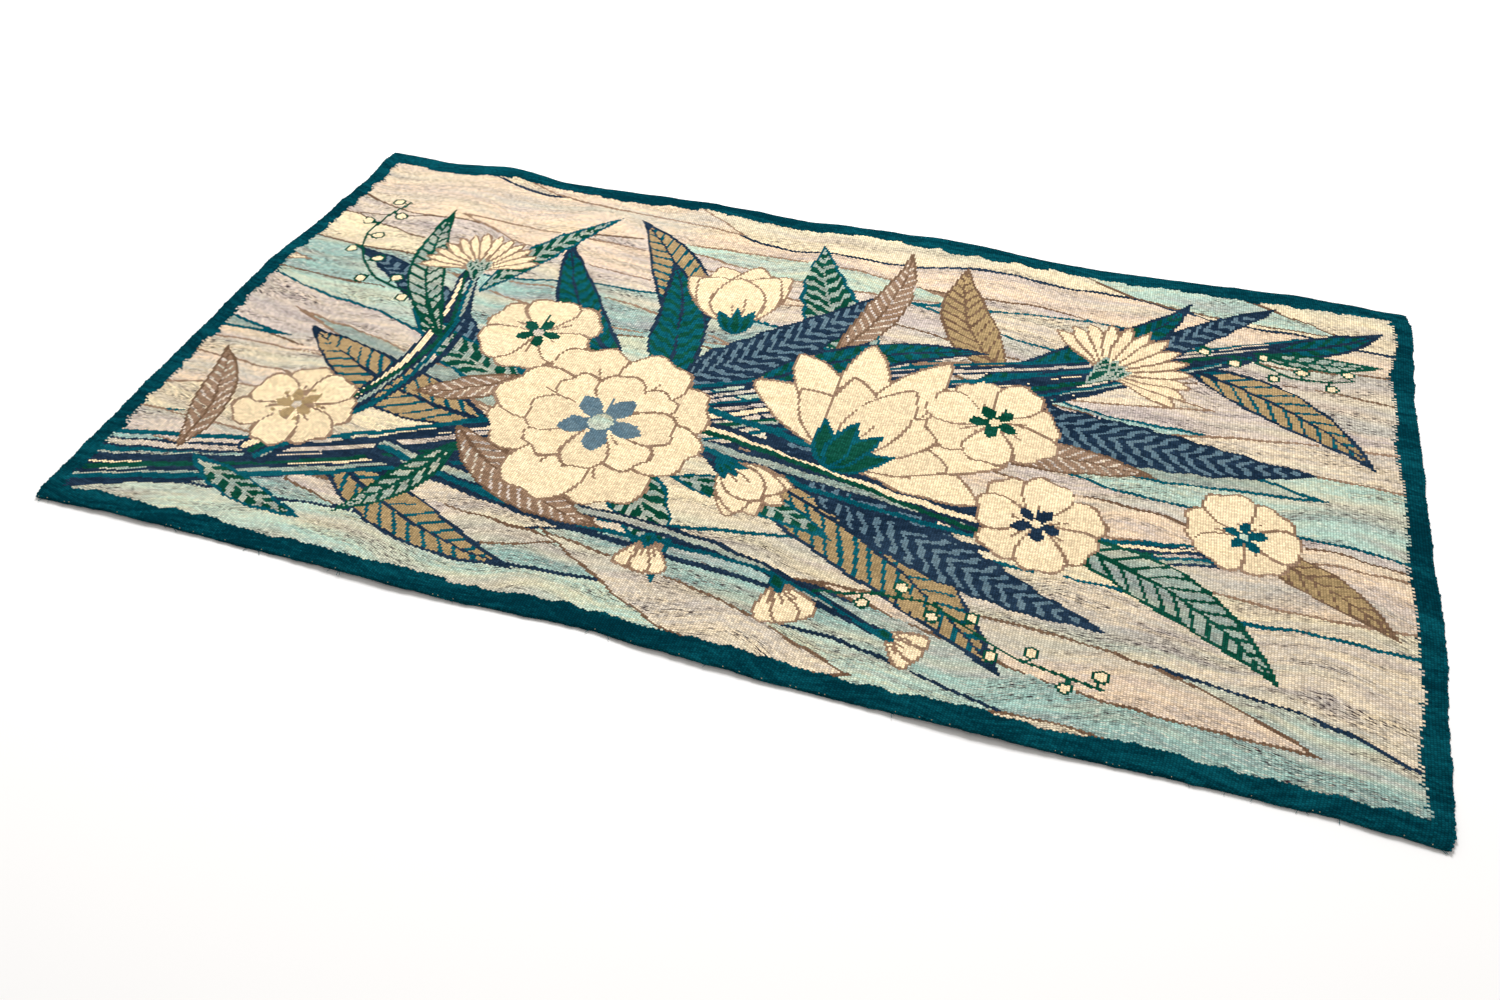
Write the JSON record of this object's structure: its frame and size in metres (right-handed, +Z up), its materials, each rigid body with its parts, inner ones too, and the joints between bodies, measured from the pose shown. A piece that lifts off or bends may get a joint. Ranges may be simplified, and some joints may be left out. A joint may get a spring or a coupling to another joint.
{
  "type": "wall tapestry",
  "caption": "Flat-woven wool wall tapestry with a dark border woven in one with the field and turned hems along its long edges, lying face up.",
  "frame": {"origin": "middle of the tapestry's box, at the floor that it lies on", "axes": "+Z up out of the face, +X along the long hemmed edges from left to right, +Y from the lower edge to the upper edge"},
  "size_m": [2.2382, 1.2136, 0.0125],
  "materials": {
    "woven_wool": "matte hand-spun wool, weft-faced"
  },
  "bodies": {
    "root": {"tapestry": "woven_wool"}
  },
  "joints": []
}
